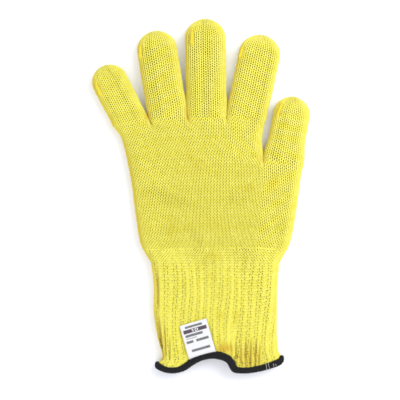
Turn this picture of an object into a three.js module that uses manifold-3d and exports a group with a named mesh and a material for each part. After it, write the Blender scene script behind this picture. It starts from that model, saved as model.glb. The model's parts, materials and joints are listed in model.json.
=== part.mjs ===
// Cut resistant knit glove with a ribbed cuff, lying on a table with its palm side up.
// Millimetres. +Y runs to the fingertips, +X to the thumb, +Z up from the table.
// The origin is under the middle of the glove, on the table.

import * as THREE from 'three';
import * as BufferGeometryUtils from 'three/addons/utils/BufferGeometryUtils.js';
import Module from 'manifold-3d';

const wasm = await Module();
wasm.setup();

// ---------------------------------------------------------------- driving dimensions

const THICKNESS = 16; // filled-out height of palm, fingers and cuff
const WALL = 1.6; // thickness of the knit
const SIDE_RADIUS = 6.8; // rounding of every tube's two sides
const GAP = 0.3; // clearance between neighbouring pieces
const FOLD_Z = THICKNESS / 2; // height of every finger, thumb and wrist fold line
const FOLD_CLEARANCE = 3; // degrees added to each fold's notch
const RUN_PAST = 18; // a tube's outline runs this far past its fold line, then is cut there
const CAP_POINTS = 12; // outline segments round a fingertip

// room taken by the blocks that cut the tubes
const OVERSHOOT = 10; // above and below the glove
const CUT_DEPTH = 80; // past a fold line
const FINGER_REACH = 60; // along a finger's fold line, each way from its middle
const SIDE_REACH = 30; // past the hand's outer edges
const WRIST_REACH = 100; // along the wrist line, each way
const ABOVE_ROOTS = 120; // y of the far side of what is cut off above the finger roots
const BELOW_HEM = -190; // y of the far side of what is cut off below the hem

// largest fold of each kind of joint, in degrees
const KNUCKLE_FOLD = 80;
const MIDDLE_FOLD = 85;
const TIP_FOLD = 42.5;
const THUMB_ROOT_FOLD = 60;
const THUMB_TIP_FOLD = 65;
const WRIST_FOLD = 70;

// Each finger leaves the palm between the gap on one side and the gap on the other. knuckle is the
// turn of its knuckle's fold line from +X, in degrees; the four are nearly in line, so that curled
// fingers stay side by side. widths are at the root and at the tip.
const FINGERS = [
  {
    name: 'little',
    from: [-73.6, 57.7],
    to: [-44.2, 65.0],
    tip: [-84.7, 110.5],
    widths: [28.8, 30.8],
    knuckle: 6.5,
  },
  {
    name: 'ring',
    from: [-44.2, 65.0],
    to: [-11.8, 68.2],
    tip: [-40.2, 140.7],
    widths: [31.6, 34.4],
    knuckle: -0.5,
  },
  {
    name: 'middle',
    from: [-11.8, 68.2],
    to: [21.5, 68.9],
    tip: [3.2, 151.0],
    widths: [32.6, 34.9],
    knuckle: -1,
  },
  {
    name: 'index',
    from: [21.5, 68.9],
    to: [54.6, 63.4],
    tip: [53.2, 137.2],
    widths: [32.8, 35.5],
    knuckle: -6,
  },
];
const FINGER_FOLDS = [0.38, 0.68]; // shares of the length from root to tip
const THUMB = {
  name: 'thumb',
  from: [52.6, 33.6],
  to: [87.4, 26.6],
  tip: [80.15, 84.8],
  widths: [34.8, 31.6],
  knuckle: -9.7,
};
const THUMB_FOLDS = [0.5];

// side edges of the hand, from the wrist up
const WRIST_Y = -57;
const HAND_LEFT = [[-41.4, -80], [-43.0, -57], [-51.9, -40], [-56.1, -14.5], [-60.4, 16.2], [-67.2, 46.8]];
const HAND_RIGHT = [[65.4, -80], [66.8, -57], [75.7, -40], [80.8, -14.5], [85.0, 16.2]];

// side edges of the cuff, from above the wrist down past the hem
const CUFF_LEFT = [[-51.9, -38], [-43.0, -57], [-40.8, -75], [-40.8, -98], [-36.8, -122], [-33.4, -136],
  [-38.2, -144], [-39.4, -150], [-40, -172]];
const CUFF_RIGHT = [[75.7, -38], [66.8, -57], [65.2, -75], [64.7, -98], [65.2, -122], [65.8, -132],
  [69.2, -138], [69.7, -144], [70, -172]];

// hem binding
const HEM_WIDTH = 6;
const HEM_THICKNESS = 3;
const HEM_PROUD = 0.6; // how far the binding stands out from the knit
const HEM_LINE = [[-46, -139.5], [-39.4, -142.6], [-33, -146.3], [-26, -148.2], [-19.8, -147.7],
  [-12.3, -143.6], [-4, -138.4], [3.5, -135.7], [11.7, -135.1], [19.6, -136.9], [25.2, -140.9],
  [28.5, -145.6], [33, -147.5], [40, -147.7], [47.1, -146.9], [58.9, -143.9], [69.5, -138.4],
  [76, -135.2]];

// size label, turned a little and sewn under the hem at its lower end
const LABEL = { base: [0.5, -132], width: 23.5, length: 26.5, thickness: 0.5, turn: 16.2 };

// small yarn pieces
const CLOSING_YARN = { radius: 0.8, longest: 11, belowTip: 8.8, inset: 4.4, z: 16.8 };
const TACK_RADIUS = 1;
const FINGER_TACK = { length: 5.2, setback: 2.6, z: 5.8 };
const THUMB_TACK = { length: 3, setback: 3.5, z: 8 };

// bottom of the gap between index finger and thumb, round from the thumb's side to the finger's
const THUMB_GAP = [[54.0, 34.6], [53.6, 33.0], [52.8, 32.4], [52.2, 33.2], [52.0, 34.8]];
const THUMB_GAP_DEEPEST = THUMB_GAP[2];
const ELASTIC = { radius: 0.4, turns: 6, top: -74, bottom: -122, inset: 3.3 };
const JOIN_STITCHES = { radius: 0.5, length: 5, at: [55.5, -145.2], turn: 20 };
const YARN_LOOP = { radius: 1.9, yarn: 0.45, at: [29.7, -136.2] };

// ---------------------------------------------------------------- materials

const knitYellow = new THREE.MeshStandardMaterial({ color: 0xe6dc3c, roughness: 0.9, metalness: 0 });
const ribYellow = new THREE.MeshStandardMaterial({ color: 0xe0d53a, roughness: 0.9, metalness: 0 });
const yarnYellow = new THREE.MeshStandardMaterial({ color: 0xf0dc1e, roughness: 0.8, metalness: 0 });
const hemBlack = new THREE.MeshStandardMaterial({ color: 0x242426, roughness: 0.75, metalness: 0 });
const labelWhite = new THREE.MeshStandardMaterial({ color: 0xf2f2f4, roughness: 0.6, metalness: 0 });
const elasticWhite = new THREE.MeshStandardMaterial({ color: 0xe8e4cf, roughness: 0.7, metalness: 0 });

// ---------------------------------------------------------------- solids

function solidFrom(geometry) {
  const bare = geometry.clone();
  bare.deleteAttribute('normal');
  bare.deleteAttribute('uv');
  const merged = BufferGeometryUtils.mergeVertices(bare, 1e-4);
  const vertProperties = new Float32Array(merged.attributes.position.array);
  const triVerts = new Uint32Array(merged.index.array);
  return new wasm.Manifold(new wasm.Mesh({ numProp: 3, vertProperties, triVerts }));
}

function geometryFrom(solid) {
  const { vertProperties, triVerts } = solid.getMesh();
  const geometry = new THREE.BufferGeometry();
  geometry.setAttribute('position', new THREE.BufferAttribute(new Float32Array(vertProperties), 3));
  geometry.setIndex(new THREE.BufferAttribute(new Uint32Array(triVerts), 1));
  geometry.computeVertexNormals();
  return geometry;
}

// A flat-topped cushion on the outline, drawn in by inset all round, with its sides rounded.
function cushion(outline, inset) {
  const radius = SIDE_RADIUS - inset;
  const geometry = new THREE.ExtrudeGeometry(new THREE.Shape(outline), {
    depth: THICKNESS - 2 * SIDE_RADIUS,
    bevelThickness: radius,
    bevelSize: radius,
    bevelOffset: -SIDE_RADIUS,
    bevelSegments: 3,
  });
  geometry.translate(0, 0, SIDE_RADIUS);
  return solidFrom(geometry);
}

// The knit tube on an outline: a cushion with a cushion-shaped cavity.
function knitTube(outline) {
  return cushion(outline, 0).subtract(cushion(outline, WALL));
}

// A block that stands on a plan outline and is taller than the glove.
function tallBlock(outline) {
  const geometry = new THREE.ExtrudeGeometry(new THREE.Shape(outline), {
    depth: THICKNESS + 2 * OVERSHOOT,
    bevelEnabled: false,
  });
  geometry.translate(0, 0, -OVERSHOOT);
  return solidFrom(geometry);
}

// Everything past a fold line: line is { x, y, angle } in the plan, side is +1 to remove the left
// of the line's direction (its +90 degree side) and -1 to remove the right. Above the fold's height
// the cut leans back by half the fold, so that the two sides meet when the joint is fully folded.
function pastFold(line, side, fold, before = FINGER_REACH, after = FINGER_REACH) {
  const lean = Math.tan(THREE.MathUtils.degToRad((fold + FOLD_CLEARANCE) / 2));
  const top = THICKNESS + OVERSHOOT;
  const section = new THREE.Shape([
    new THREE.Vector2(-GAP / 2, -OVERSHOOT),
    new THREE.Vector2(CUT_DEPTH, -OVERSHOOT),
    new THREE.Vector2(CUT_DEPTH, top),
    new THREE.Vector2(-GAP / 2 - (top - FOLD_Z) * lean, top),
    new THREE.Vector2(-GAP / 2, FOLD_Z),
  ]);
  const geometry = new THREE.ExtrudeGeometry(section, { depth: before + after, bevelEnabled: false });
  const along = new THREE.Vector3(Math.cos(line.angle), Math.sin(line.angle), 0);
  const up = new THREE.Vector3(0, 0, 1);
  const outward = up.clone().cross(along).multiplyScalar(side);
  const extrude = outward.clone().cross(up);
  const start = side > 0 ? before : after;
  geometry.translate(0, 0, -start);
  const placed = new THREE.Matrix4().makeBasis(outward, up, extrude);
  placed.setPosition(line.x, line.y, 0);
  geometry.applyMatrix4(placed);
  return solidFrom(geometry);
}

// ---------------------------------------------------------------- outlines

function points2(list) {
  return list.map(([x, y]) => new THREE.Vector2(x, y));
}

function smooth(list, divisions) {
  return new THREE.SplineCurve(points2(list)).getPoints(divisions);
}

// x of an edge list at height y, going straight between its points
function edgeX(list, y) {
  for (let i = 1; i < list.length; i += 1) {
    const [x0, y0] = list[i - 1];
    const [x1, y1] = list[i];
    if ((y - y0) * (y - y1) <= 0) return x0 + ((x1 - x0) * (y - y0)) / (y1 - y0);
  }
  throw new Error(`no edge at y ${y}`);
}

// root line, tilt from +Y towards +X, and length of a finger
function fingerFrame(finger) {
  const from = new THREE.Vector2(...finger.from);
  const to = new THREE.Vector2(...finger.to);
  const root = from.clone().add(to).multiplyScalar(0.5);
  const reach = new THREE.Vector2(...finger.tip).sub(root);
  const across = to.clone().sub(from);
  return {
    root,
    tilt: Math.atan2(reach.x, reach.y),
    length: reach.length(),
    rootAngle: THREE.MathUtils.degToRad(finger.knuckle),
    halfRoot: across.length() / 2,
  };
}

// plan outline of a finger between two heights in its own frame, with a round end at the tip
function fingerOutline(finger, length, low, high) {
  const [rootHalf, tipHalf] = finger.widths.map((w) => w / 2);
  const fullAt = length * 0.35;
  const half = (y) => THREE.MathUtils.lerp(rootHalf, tipHalf, THREE.MathUtils.clamp(y / fullAt, 0, 1));
  const right = [low, 0, fullAt].filter((y) => y >= low && y < high).map((y) => [half(y), y]);
  const left = right.map(([x, y]) => [-x, y]).reverse();
  if (high < length) {
    return points2([...right, [half(high), high], [-half(high), high], ...left]);
  }
  const cap = [];
  for (let i = 0; i <= CAP_POINTS; i += 1) {
    const a = (Math.PI * i) / CAP_POINTS;
    cap.push([tipHalf * Math.cos(a), length - tipHalf + tipHalf * Math.sin(a)]);
  }
  return points2([...right, ...cap, ...left]);
}

// ---------------------------------------------------------------- nodes

const glove = new THREE.Group();
glove.name = 'cut_resistant_glove';

function node(name, geometry, material, parent = glove) {
  const mesh = new THREE.Mesh(geometry, material);
  mesh.name = name;
  parent.add(mesh);
  return mesh;
}

// One finger or thumb: its tube cut at the root and at each fold, and its closing yarn.
function addFinger(finger, shares, names, foldSizes) {
  const frame = fingerFrame(finger);
  const group = new THREE.Group();
  group.position.set(frame.root.x, frame.root.y, 0);
  group.rotation.z = -frame.tilt;
  glove.add(group);

  const folds = [
    { x: 0, y: 0, angle: frame.rootAngle + frame.tilt },
    ...shares.map((share) => ({ x: 0, y: share * frame.length, angle: 0 })),
  ];
  names.forEach((name, i) => {
    const low = folds[i].y - RUN_PAST;
    const isTip = i === names.length - 1;
    const high = isTip ? frame.length : folds[i + 1].y + RUN_PAST;
    let tube = knitTube(fingerOutline(finger, frame.length, low, high));
    tube = tube.subtract(pastFold(folds[i], -1, foldSizes[i]));
    if (!isTip) tube = tube.subtract(pastFold(folds[i + 1], 1, foldSizes[i + 1]));
    node(`${finger.name}_${name}`, geometryFrom(tube), knitYellow, group);
  });

  const tipHalf = finger.widths[1] / 2;
  const room = frame.length - folds.at(-1).y - CLOSING_YARN.belowTip - 4 * CLOSING_YARN.radius;
  const length = Math.min(CLOSING_YARN.longest, room);
  const yarn = new THREE.CapsuleGeometry(CLOSING_YARN.radius, length, 2, 6);
  const mesh = node(`${finger.name}_closing_yarn`, yarn, yarnYellow, group);
  mesh.position.set(
    CLOSING_YARN.inset - tipHalf,
    frame.length - CLOSING_YARN.belowTip - length / 2,
    CLOSING_YARN.z,
  );
}

// The palm and back of the hand: one tube, open at the four finger roots, the thumb and the wrist.
function addPalm() {
  const left = smooth(HAND_LEFT, 14).reverse();
  const right = smooth(HAND_RIGHT, 12);
  const thumb = fingerFrame(THUMB);
  const past = ([x, y], tilt) => [x + RUN_PAST * Math.sin(tilt), y + RUN_PAST * Math.cos(tilt)];
  const little = fingerFrame(FINGERS[0]);
  const index = fingerFrame(FINGERS[3]);
  const outline = [
    ...right,
    ...points2([
      THUMB.to,
      past(THUMB.to, thumb.tilt),
      past(THUMB_GAP[0], thumb.tilt),
      ...THUMB_GAP,
      FINGERS[3].to,
      past(FINGERS[3].to, index.tilt),
      past(FINGERS[0].from, little.tilt),
      FINGERS[0].from,
    ]),
    ...left,
  ];
  const farLeft = FINGERS[0].from[0] - SIDE_REACH;
  const farRight = FINGERS[3].to[0] + SIDE_REACH;
  const beyondRoots = [
    [farLeft, FINGERS[0].from[1] - 8],
    FINGERS[0].from,
    ...FINGERS.map((finger) => finger.to),
    [farRight, FINGERS[3].to[1]],
    [farRight, ABOVE_ROOTS],
    [farLeft, ABOVE_ROOTS],
  ];
  let palm = knitTube(outline).subtract(tallBlock(points2(beyondRoots)));
  FINGERS.forEach((finger, i) => {
    const f = fingerFrame(finger);
    const line = { x: f.root.x, y: f.root.y, angle: f.rootAngle };
    const before = f.halfRoot + (i === 0 ? SIDE_REACH : GAP);
    const after = f.halfRoot + (i === FINGERS.length - 1 ? SIDE_REACH : GAP);
    palm = palm.subtract(pastFold(line, 1, KNUCKLE_FOLD, before, after));
  });
  const thumbLine = { x: thumb.root.x, y: thumb.root.y, angle: thumb.rootAngle };
  const thumbAfter = thumb.halfRoot + SIDE_REACH;
  palm = palm.subtract(pastFold(thumbLine, 1, THUMB_ROOT_FOLD, thumb.halfRoot - 0.5, thumbAfter));
  palm = palm.subtract(pastFold(wristLine, -1, WRIST_FOLD, WRIST_REACH, WRIST_REACH));
  node('palm_shell', geometryFrom(palm), knitYellow);
}

const wristLine = { x: 0, y: WRIST_Y, angle: 0 };
const cuffOutline = [...smooth(CUFF_RIGHT, 12).reverse(), ...smooth(CUFF_LEFT, 12)];

// offset of the hem's centre line, towards the fingers where distance is positive
function hemEdge(distance) {
  const curve = new THREE.SplineCurve(points2(HEM_LINE));
  const edge = [];
  const steps = 36;
  for (let i = 0; i <= steps; i += 1) {
    const p = curve.getPoint(i / steps);
    const t = curve.getTangent(i / steps);
    edge.push(new THREE.Vector2(p.x - t.y * distance, p.y + t.x * distance));
  }
  return edge;
}

// The ribbed cuff, cut along the wavy hem and folded at the wrist.
function addCuff() {
  const edge = hemEdge(HEM_WIDTH / 2 + GAP);
  const below = points2([[HEM_LINE.at(-1)[0], BELOW_HEM], [HEM_LINE[0][0], BELOW_HEM]]);
  let cuff = knitTube(cuffOutline);
  cuff = cuff.subtract(tallBlock([...edge, ...below].reverse()));
  cuff = cuff.subtract(pastFold(wristLine, 1, WRIST_FOLD, WRIST_REACH, WRIST_REACH));
  node('cuff_shell', geometryFrom(cuff), ribYellow);
}

// The hem binding: a closed band round the hand opening, a little thicker than the knit.
function addHem() {
  const band = [...hemEdge(-HEM_WIDTH / 2), ...hemEdge(HEM_WIDTH / 2).reverse()];
  const ring = cushion(cuffOutline, -HEM_PROUD).subtract(cushion(cuffOutline, HEM_THICKNESS - HEM_PROUD));
  const hem = ring.intersect(tallBlock(band));
  const mesh = node('hem_binding', geometryFrom(hem), hemBlack);
  mesh.position.z = HEM_PROUD;
}

function addLabel() {
  const half = LABEL.width / 2;
  const outline = points2([[-half, 0], [half, 0], [half, LABEL.length], [-half, LABEL.length]]);
  const geometry = new THREE.ExtrudeGeometry(new THREE.Shape(outline), {
    depth: LABEL.thickness,
    bevelEnabled: false,
  });
  const mesh = node('size_label', geometry, labelWhite);
  mesh.position.set(LABEL.base[0], LABEL.base[1], THICKNESS + GAP);
  mesh.rotation.z = THREE.MathUtils.degToRad(LABEL.turn);
}

// One elastic yarn, wound round the inside of the cuff's wall.
function addElastic() {
  const route = [];
  const cornerRadius = SIDE_RADIUS - ELASTIC.inset;
  const perStretch = 3; // points on each of the top, right end, bottom and left end of a turn
  const perTurn = 4 * perStretch;
  const total = ELASTIC.turns * perTurn;
  for (let i = 0; i <= total; i += 1) {
    const y = THREE.MathUtils.lerp(ELASTIC.top, ELASTIC.bottom, i / total);
    const left = edgeX(CUFF_LEFT, y) + SIDE_RADIUS;
    const right = edgeX(CUFF_RIGHT, y) - SIDE_RADIUS;
    const quarter = Math.floor((i % perTurn) / perStretch);
    const onStretch = i % perStretch;
    const share = onStretch / (perStretch - 1);
    const onTop = [left + (right - left) * share, THICKNESS - ELASTIC.inset];
    const onBottom = [right + (left - right) * share, ELASTIC.inset];
    const turn = (Math.PI * (onStretch + 1)) / (perStretch + 1);
    const rightEnd = [right + cornerRadius * Math.sin(turn), FOLD_Z + cornerRadius * Math.cos(turn)];
    const leftEnd = [left - cornerRadius * Math.sin(turn), FOLD_Z - cornerRadius * Math.cos(turn)];
    const [x, z] = [onTop, rightEnd, onBottom, leftEnd][quarter];
    route.push(new THREE.Vector3(x, y, z));
  }
  const section = new THREE.Shape();
  section.absarc(0, 0, ELASTIC.radius, 0, Math.PI * 2);
  const geometry = new THREE.ExtrudeGeometry(section, {
    steps: 3 * total,
    curveSegments: 5,
    bevelEnabled: false,
    extrudePath: new THREE.CatmullRomCurve3(route, false, 'centripetal'),
  });
  node('cuff_elastic_yarn', geometry, elasticWhite);
}

// height at x of a finger's knuckle fold line
function knuckleY(finger, x) {
  const frame = fingerFrame(finger);
  return frame.root.y + (x - frame.root.x) * Math.tan(frame.rootAngle);
}

// The stitches that join front to back at the bottom of each gap, behind the folds beside it.
function addTack(name, x, y, tack) {
  const post = new THREE.CapsuleGeometry(TACK_RADIUS, tack.length, 2, 6);
  post.rotateX(Math.PI / 2);
  const mesh = node(name, post, yarnYellow);
  mesh.position.set(x, y - tack.setback, tack.z);
}

function addFingerTack(left, right) {
  const x = left.to[0];
  const y = Math.min(knuckleY(left, x), knuckleY(right, x));
  addTack(`${left.name}_${right.name}_tack`, x, y, FINGER_TACK);
}

function addHemThreads() {
  const stitches = new THREE.CapsuleGeometry(JOIN_STITCHES.radius, JOIN_STITCHES.length, 2, 6);
  const bar = node('hem_join_stitches', stitches, elasticWhite);
  const hemTop = THICKNESS + 2 * HEM_PROUD;
  bar.position.set(...JOIN_STITCHES.at, hemTop + JOIN_STITCHES.radius + GAP);
  bar.rotation.z = THREE.MathUtils.degToRad(JOIN_STITCHES.turn);

  const loop = new THREE.TorusGeometry(YARN_LOOP.radius, YARN_LOOP.yarn, 6, 14);
  const ring = node('hem_yarn_loop', loop, yarnYellow);
  ring.position.set(...YARN_LOOP.at, THICKNESS + YARN_LOOP.yarn + GAP);
}

addPalm();
FINGERS.forEach((finger) => {
  addFinger(finger, FINGER_FOLDS, ['proximal', 'middle', 'tip'], [KNUCKLE_FOLD, MIDDLE_FOLD, TIP_FOLD]);
});
addFinger(THUMB, THUMB_FOLDS, ['base', 'tip'], [THUMB_ROOT_FOLD, THUMB_TIP_FOLD]);
addCuff();
addHem();
addLabel();
addElastic();
FINGERS.slice(1).forEach((finger, i) => addFingerTack(FINGERS[i], finger));
addTack('index_thumb_tack', ...THUMB_GAP_DEEPEST, THUMB_TACK);
addHemThreads();

export default glove;
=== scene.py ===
"""A cut resistant knit glove, lying on its back: the looks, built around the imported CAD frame.

The knit is made stitch by stitch. Each course is one yarn that runs round a tube in loops, and each
tube is a surface through a grid of courses and wales. Lengths are in millimetres until a mesh is made.
"""

import json
import math

import bpy
import numpy as np
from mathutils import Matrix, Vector


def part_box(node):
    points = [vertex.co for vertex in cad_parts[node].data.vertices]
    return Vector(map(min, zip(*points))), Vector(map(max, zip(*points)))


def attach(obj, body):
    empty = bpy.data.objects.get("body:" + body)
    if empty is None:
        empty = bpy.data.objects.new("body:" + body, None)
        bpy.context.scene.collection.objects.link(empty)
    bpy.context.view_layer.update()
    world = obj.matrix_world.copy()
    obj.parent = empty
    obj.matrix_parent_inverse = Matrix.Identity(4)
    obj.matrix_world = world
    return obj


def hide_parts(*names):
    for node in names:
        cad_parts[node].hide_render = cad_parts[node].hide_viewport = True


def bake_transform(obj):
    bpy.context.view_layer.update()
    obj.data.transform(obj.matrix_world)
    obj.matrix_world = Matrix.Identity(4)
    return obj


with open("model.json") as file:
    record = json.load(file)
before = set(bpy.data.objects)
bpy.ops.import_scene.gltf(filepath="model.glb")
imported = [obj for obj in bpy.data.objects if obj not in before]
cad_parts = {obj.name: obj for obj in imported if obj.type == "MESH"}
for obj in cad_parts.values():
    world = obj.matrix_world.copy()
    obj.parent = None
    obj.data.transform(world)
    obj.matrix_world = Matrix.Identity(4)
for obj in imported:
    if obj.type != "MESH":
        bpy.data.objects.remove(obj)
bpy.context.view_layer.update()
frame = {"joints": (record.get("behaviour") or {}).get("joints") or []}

MM = 0.001
rng = np.random.default_rng(41)

# ---------------- the glove's own dimensions, as in the CAD model

# Of each finger, besides its plan: how far its two sides bulge just above its root, the ends of its closing
# yarn, the gaps between wales, counted from its left, that hang open as dotted lines, and its bends: how far
# past its root it goes on bending, and half the length of each of its other bends
FINGERS = [
    dict(name="little", start=(-73.6, 57.7), end=(-44.2, 65.0), tip=(-84.7, 110.5), widths=(28.8, 30.8),
         bulge=(0, 0), ridge=((-89.9, 96.8), (-83.4, 83.6)), slack=(3, 7), bends=(8.6, 6.8, 5.0)),
    dict(name="ring", start=(-44.2, 65.0), end=(-11.8, 68.2), tip=(-40.2, 140.7), widths=(31.6, 34.4),
         bulge=(0.5, 1.3), ridge=((-51.4, 129.0), (-50.6, 115.6)), slack=(2, 3, 4), bends=(15.0, 8.5, 6.0)),
    dict(name="middle", start=(-11.8, 68.2), end=(21.5, 68.9), tip=(3.2, 151.0), widths=(32.6, 34.9),
         bulge=(1.0, 0.8), ridge=((-7.9, 141.6), (-7.4, 126.2)), slack=(2, 3, 5, 6), bends=(15.0, 8.5, 6.0)),
    dict(name="index", start=(21.5, 68.9), end=(54.6, 63.4), tip=(53.2, 137.2), widths=(32.8, 35.5),
         bulge=(0.7, 0), ridge=((35.6, 127.6), (33.4, 115.4)), slack=(2, 8, 9), bends=(15.0, 8.5, 6.0)),
]
THUMB = dict(name="thumb", start=(52.8, 32.8), end=(87.4, 26.6), tip=(80.15, 84.8), widths=(34.8, 31.6),
             bulge=(0, 0), ridge=((68.7, 79.4), (64.6, 66.0)), slack=(3, 4), bends=(14.0, 9.0))
WRIST_Y = -57
HAND_LEFT = [(-43, -57), (-51.9, -40), (-56.1, -14.5), (-60.4, 16.2), (-67.2, 46.8), (-73.6, 57.7)]
HAND_RIGHT = [(66.8, -57), (75.7, -40), (80.8, -14.5), (85.0, 16.2), (87.4, 26.6)]
THUMB_GAP = (52.8, 32.4)
CUFF_LEFT = [(-43, -57), (-40.8, -75), (-40.8, -98), (-36.8, -122), (-33.6, -136), (-38.2, -144),
             (-39.4, -150), (-40, -160)]
CUFF_RIGHT = [(66.8, -57), (65.2, -75), (64.7, -98), (65.2, -122), (65.8, -132), (69.2, -138), (69.7, -144),
              (70, -160)]
HEM_LINE = [(-46, -139.3), (-39.4, -142.7), (-36, -144.3), (-31.5, -146.3), (-26, -147.4), (-19.8, -147.0),
            (-14.3, -144.9), (-9.5, -141.3), (-4, -137.9), (0.7, -135.8), (7, -134.6), (12.2, -134.5),
            (19.6, -136.2), (23.7, -138.6), (26.3, -142.2), (28.0, -146.0), (31.6, -147.3), (40, -147.4),
            (47.1, -146.3), (53.4, -144.8), (58.9, -143.1), (66, -140.6), (69.5, -137.6), (76, -133)]
HEM_HALF_WIDTHS = [  # of its front, by x: the rolled hem is narrower where it has turned over more
    (-40, 2.5), (-30, 2.3), (-19, 2.35), (-9, 2.9), (0, 3.15), (20, 3.1), (27, 2.9), (34, 2.3), (48, 2.35),
    (56, 2.6), (70, 2.7),
]
HEM_BACK_HALF_WIDTH = 2.6
HEM_HALF_THICKNESS = 1.75
LABEL = dict(base=(0.5, -132), width=23.5, length=26.5, turn=math.radians(16.2))
LABEL_TUCK = 4.0  # how much more of it is under the hem
LABEL_THICKNESS = 0.32
LABEL_Z = 16.27  # underside, over the ribs
TABLE_CLEARANCE = 0.15

# ---------------- the knit

WALES_PER_LANE = 11  # on one face of a finger, and on the strip of the palm below it
FINGER_COURSE = 2.13
FULL_WIDTH_AT = 0.35  # share of a finger's length at which it has its second width
TIP_CLIMB = math.radians(84)  # how far the last course has climbed over the tip
TIP_SWEEP = math.radians(52)  # how far round the tip its two sides have come
CUFF_COURSES = 37
RIB_TOP = CUFF_COURSES + 5  # the ribs start here, above the wrist
ROOT_COURSES = 50  # from the wrist to the finger roots
GAP_COURSES = 37  # from the wrist to the gap beside the thumb
GAP_SHARE = 0.7425  # of the way from the wrist to the finger roots, on the edge that meets the thumb
KNIT_INSET = 0.95  # from the knit's outer face to its middle surface
LOW = KNIT_INSET + TABLE_CLEARANCE  # middle surface of the back of the glove
HIGH = 14.3  # middle surface of the palm side
SIDE_Z = 6.4  # where the two faces meet along the sides
TOP_ROUND = 12.5  # how far in from a side the palm face keeps rounding over
BACK_ROUND = 6.0
ROUNDING = 2.2  # exponent of the rounding: 2 is an ellipse
VALLEY_COURSES = 6  # length of the dip that runs down from each gap between two fingers
LOOP_POINTS = 10
YARN_SIDES = 5
# A knit's yarn radius as a share of a wale, sideways swing of a loop's legs in wales, half height of a loop
# in courses, how far its legs stand out and its heads lie back, and the backing's points for each wale
PLAIN_KNIT = dict(share=0.18, lean=0.13, reach=0.86, depth=0.30, per_wale=2)
FINGER_KNIT = dict(PLAIN_KNIT, share=0.20)
RIB_KNIT = dict(share=0.193, lean=0.22, reach=0.80, depth=0.10, per_wale=4)
RIBS = 33
LOOPS_PER_RIB = 3
YARN_RADII = (0.28, 0.60)
BACKING_DEPTH = 0.62  # from the knit's middle surface in to its backing
BACKING_THICKNESS = 0.5


def catmull_rom(f):
    """Weights of the four nearest points, at share f between the middle two."""
    return np.stack([
        0.5 * (-f + 2 * f**2 - f**3),
        0.5 * (2 - 5 * f**2 + 3 * f**3),
        0.5 * (f + 4 * f**2 - 3 * f**3),
        0.5 * (-f**2 + f**3),
    ], -1)


def smoothstep(x):
    x = np.clip(x, 0, 1)
    return x * x * (3 - 2 * x)


def bell(x, y=0.0):
    """1 in the middle, falling away to nothing at a distance of about 2."""
    return np.exp(-(x**2) - y**2)


def unit(v):
    return v / np.maximum(np.linalg.norm(v, axis=-1, keepdims=True), 1e-9)


def dense(points, per_span=24):
    """A smooth curve through the points, as closely spaced points."""
    p = np.asarray(points, float)
    ends = np.vstack([2 * p[0] - p[1], p, 2 * p[-1] - p[-2]])
    share = np.tile(np.linspace(0, 1, per_span, endpoint=False), len(p) - 1)
    first = np.repeat(np.arange(len(p) - 1), per_span)
    weights = catmull_rom(share)
    curve = sum(weights[:, i, None] * ends[first + i] for i in range(4))
    return np.vstack([curve, p[-1]])


def run_of(points):
    steps = np.linalg.norm(np.diff(points, axis=0), axis=1)
    return np.concatenate([[0], np.cumsum(steps)])


def along(points, shares):
    """Points at the given shares of a polyline's length."""
    run = run_of(points)
    at = np.asarray(shares) * run[-1]
    return np.stack([np.interp(at, run, column) for column in points.T], -1)


def sample(grid, course, wale):
    """The surface through a grid of points, closed round its wales."""
    first = np.clip(np.floor(course).astype(int), 0, len(grid) - 2)
    left = np.floor(wale).astype(int)
    by_course = catmull_rom(course - first)
    by_wale = catmull_rom(wale - left)
    found = 0
    for i in range(4):
        rows = np.clip(first + i - 1, 0, len(grid) - 1)
        for j in range(4):
            weight = by_course[..., i] * by_wale[..., j]
            found = found + weight[..., None] * grid[rows, (left + j - 1) % grid.shape[1]]
    return found


def surface(grid, course, wale):
    """Point and outward normal."""
    step = 0.2
    across = sample(grid, course, wale + step) - sample(grid, course, wale - step)
    up = sample(grid, course + step, wale) - sample(grid, course - step, wale)
    return sample(grid, course, wale), unit(np.cross(across, up))


# ---------------- plan and section of each course

FINE = 0.5 - 0.5 * np.cos(np.linspace(0, math.pi, 41))  # shares across one lane, closest at its sides


def heights(run, bounds, radius):
    """Share of full height along a course, falling to 0 at each of the bounds."""
    result = np.ones_like(run)
    for a, b in zip(bounds[:-1], bounds[1:]):
        inside = (run >= a - 1e-6) & (run <= b + 1e-6)
        distance = np.maximum(np.minimum(run - a, b - run)[inside], 0)
        q = np.clip(1 - distance / min(radius, (b - a) / 2), 0, 1)
        result[inside] = (1 - q**ROUNDING) ** (1 / ROUNDING)
    return result


def ring_of(lanes, groups, low=LOW, high=HIGH, shrink=1.0):
    """One course as a closed ring of points.

    lanes holds each lane's plan points, side by side. groups is a list of (weight, bounds): bounds are the
    lane numbers where front and back meet. shrink draws both faces towards the middle, at a fingertip.
    """
    flat = np.vstack(lanes)
    run = run_of(flat)
    marks = [run[i * len(FINE)] for i in range(len(lanes))] + [run[-1]]
    faces = []
    for z, radius in ((high, TOP_ROUND), (low, BACK_ROUND)):
        share = sum(w * heights(run, [marks[b] for b in bounds], radius) for w, bounds in groups)
        faces.append(np.column_stack([flat, SIDE_Z + (z - SIDE_Z) * share * shrink]))
    front, rear = (np.split(face, len(lanes)) for face in faces)
    wales = np.arange(WALES_PER_LANE) / WALES_PER_LANE
    return np.vstack([along(lane, wales) for lane in front + [lane[::-1] for lane in rear[::-1]]])


def lane_line(start, end):
    return np.asarray(start) + FINE[:, None] * (np.asarray(end) - np.asarray(start))


def inset_edge(points, sideways):
    return dense(points) + np.array([sideways, 0])


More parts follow.
